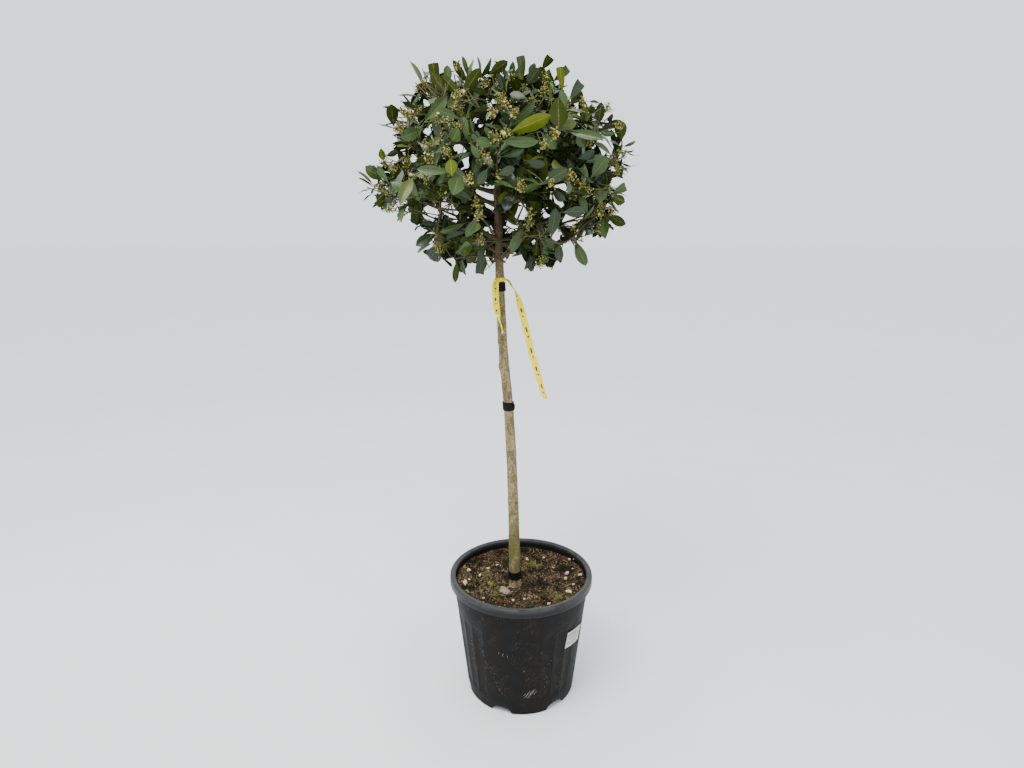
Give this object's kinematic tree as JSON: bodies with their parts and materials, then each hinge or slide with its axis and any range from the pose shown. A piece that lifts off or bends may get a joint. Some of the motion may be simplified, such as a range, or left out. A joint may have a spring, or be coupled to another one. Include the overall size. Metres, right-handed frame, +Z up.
{
  "type": "potted standard holly tree",
  "caption": "Evergreen holly trained as a standard: one clear stem under a loose round head of leaves and flower buds, standing in a pot filled with compost.",
  "frame": {"origin": "centre of the pot's flat underside", "axes": "+Z up along the stem, -Y towards the viewer of the picture, +X to that viewer's right"},
  "size_m": [0.6728, 0.6503, 1.6828],
  "materials": {
    "pot_plastic": "near-black recycled plastic, slightly dusty",
    "compost": "dark crumbly compost with small stones and moss",
    "bark": "smooth beige bark with fine fissures and green algae",
    "bough_bark": "thin olive-brown bark",
    "foliage": "glossy dark evergreen leaves, paler and matte below",
    "band_rubber": "matte black rubber",
    "tape_plastic": "thin yellow plastic tape",
    "label_paper": "plain white sticker"
  },
  "bodies": {
    "root": {"pot": "pot_plastic", "compost": "compost", "pot_label": "label_paper", "stem": "bark", "stem_band_low": "band_rubber", "stem_band_middle": "band_rubber", "stem_band_high": "band_rubber", "tape_wrap": "tape_plastic", "tape_tail": "tape_plastic", "tape_loop": "tape_plastic", "bough_lower_1": "bough_bark", "bough_lower_2": "bough_bark", "bough_lower_3": "bough_bark", "bough_lower_4": "bough_bark", "bough_lower_5": "bough_bark", "bough_middle_1": "bough_bark", "bough_middle_2": "bough_bark", "bough_middle_3": "bough_bark", "bough_middle_4": "bough_bark", "bough_middle_5": "bough_bark", "bough_middle_6": "bough_bark", "bough_upper_1": "bough_bark", "bough_upper_2": "bough_bark", "bough_upper_3": "bough_bark", "bough_upper_4": "bough_bark", "bough_top": "bough_bark", "foliage_lower_1": "foliage", "foliage_lower_2": "foliage", "foliage_lower_3": "foliage", "foliage_lower_4": "foliage", "foliage_lower_5": "foliage", "foliage_middle_1": "foliage", "foliage_middle_2": "foliage", "foliage_middle_3": "foliage", "foliage_middle_4": "foliage", "foliage_middle_5": "foliage", "foliage_middle_6": "foliage", "foliage_upper_1": "foliage", "foliage_upper_2": "foliage", "foliage_upper_3": "foliage", "foliage_upper_4": "foliage", "foliage_top": "foliage"}
  },
  "joints": []
}
